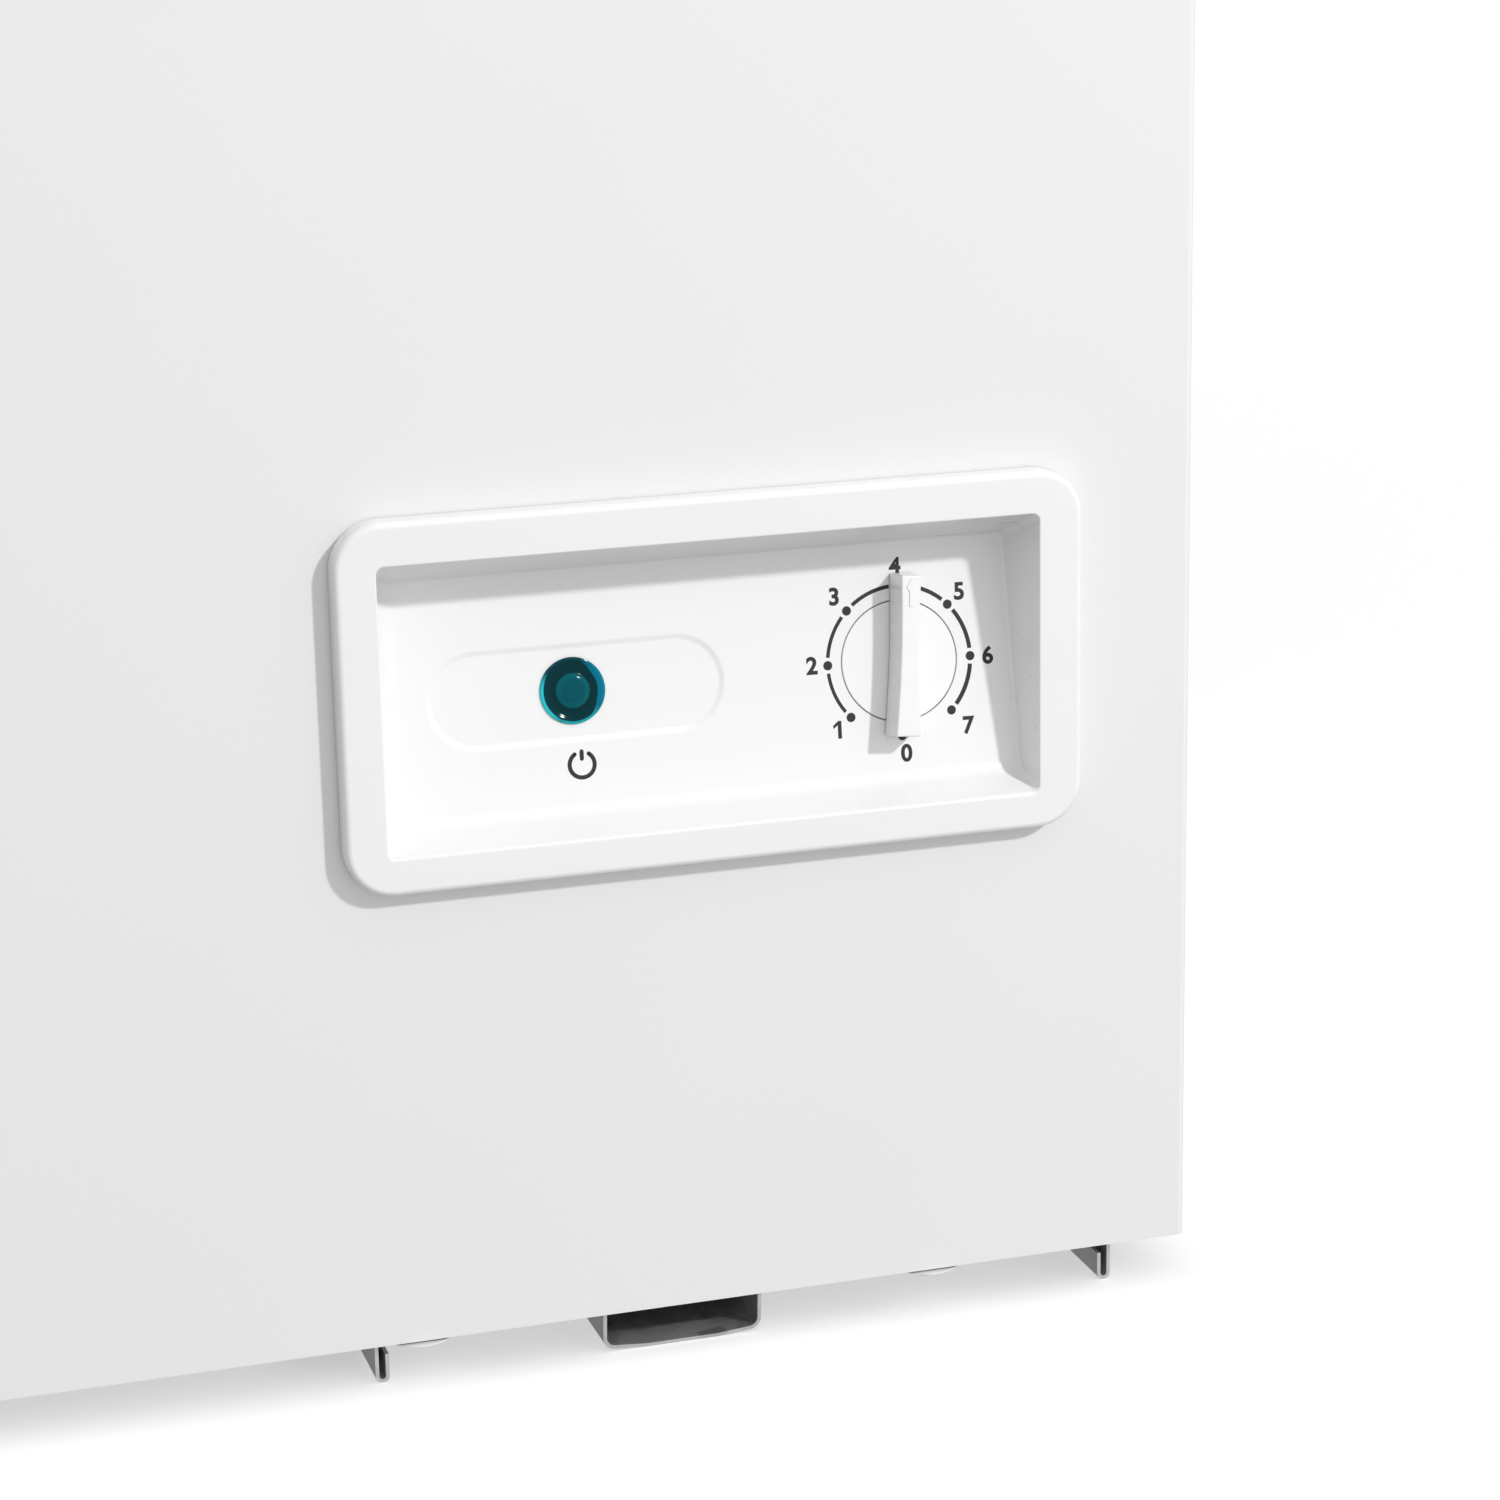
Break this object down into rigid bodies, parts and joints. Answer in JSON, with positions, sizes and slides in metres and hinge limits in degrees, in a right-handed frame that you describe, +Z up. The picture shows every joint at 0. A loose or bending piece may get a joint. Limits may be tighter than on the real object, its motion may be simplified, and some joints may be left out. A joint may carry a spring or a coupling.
{
  "type": "chest freezer",
  "caption": "White chest freezer with a lift-up lid, a wire basket, a recessed control panel with a dial and lamp, and a compressor bay at the lower right.",
  "frame": {"origin": "middle of the whole footprint, on the floor", "axes": "+Z up, +X to the right of someone who faces the front, the front faces -Y"},
  "size_m": [0.909, 0.564, 0.845],
  "materials": {
    "painted_steel": "satin",
    "galvanised_steel": "satin",
    "zinc_steel": "satin",
    "liner_metal": "satin",
    "foam": "matte",
    "white_plastic": "gloss",
    "grey_plastic": "matte",
    "seal_rubber": "matte",
    "black_rubber": "matte",
    "black_plastic": "satin",
    "teal_lens": "polished",
    "compressor_paint": "gloss",
    "copper": "satin",
    "coil_tube": "satin",
    "coated_wire": "gloss"
  },
  "bodies": {
    "cabinet": {"front_panel": "painted_steel", "left_side_panel": "painted_steel", "right_side_panel": "painted_steel", "base_screws": "painted_steel", "back_panel": "galvanised_steel", "bottom_panel": "galvanised_steel", "bay_shield": "galvanised_steel", "compressor_tray": "galvanised_steel", "left_skid": "galvanised_steel", "rear_grille": "galvanised_steel", "compressor_foot": "galvanised_steel", "rear_grille_screws": "zinc_steel", "compressor_bolts": "zinc_steel", "hinge_bases": "zinc_steel", "hinge_pins": "zinc_steel", "hinge_springs": "zinc_steel", "hinge_base_screws": "zinc_steel", "inner_liner": "liner_metal", "insulation_foam": "foam", "control_bezel": "white_plastic", "rim_frame": "white_plastic", "lamp_holder": "white_plastic", "thermostat_body": "white_plastic", "drain_tube": "grey_plastic", "compressor_grommets": "black_rubber", "cord_inlet": "black_rubber", "terminal_cover": "black_plastic", "wire_harness": "black_plastic", "lamp_lens": "teal_lens", "compressor_shell": "compressor_paint", "suction_pipe": "copper", "discharge_pipe": "copper", "filter_drier": "copper", "thermostat_bulb_tube": "copper", "evaporator_coil": "coil_tube", "condenser_coil": "coil_tube"},
    "lid": {"lid_skin": "painted_steel", "lid_foam": "foam", "lid_liner": "white_plastic", "lid_gasket": "seal_rubber", "lid_handle": "white_plastic", "lid_handle_screws": "zinc_steel", "hinge_arms": "zinc_steel", "hinge_arm_screws": "zinc_steel"},
    "basket": {"basket_rim": "coated_wire", "basket_side_meshes": "coated_wire", "basket_end_meshes": "coated_wire", "basket_floor_mesh": "coated_wire", "basket_hangers": "coated_wire"},
    "dial_knob": {"knob": "white_plastic", "thermostat_shaft": "zinc_steel"},
    "drain_plug": {"drain_plug": "seal_rubber"},
    "drain_cap": {"drain_cap": "grey_plastic"}
  },
  "joints": [
    {"name": "lid_hinge", "type": "hinge", "parent": "cabinet", "child": "lid", "pos_m": [0, 0.274, 0.781], "axis": [-1, 0, 0], "range_deg": [0, 75]},
    {"name": "knob_turn", "type": "hinge", "parent": "cabinet", "child": "dial_knob", "pos_m": [0.3725, -0.25105, 0.18264], "axis": [0, -0.9877, 0.1564], "range_deg": [-130.5, 184.5]},
    {"name": "basket_slide", "type": "slide", "parent": "cabinet", "child": "basket", "axis": [-1, 0, 0], "range_m": [0, 0.46]},
    {"name": "drain_plug_pull", "type": "slide", "parent": "cabinet", "child": "drain_plug", "axis": [0, 0, 1], "range_m": [0, 0.03]},
    {"name": "drain_cap_pull", "type": "slide", "parent": "cabinet", "child": "drain_cap", "axis": [0, -1, 0], "range_m": [0, 0.02]}
  ]
}
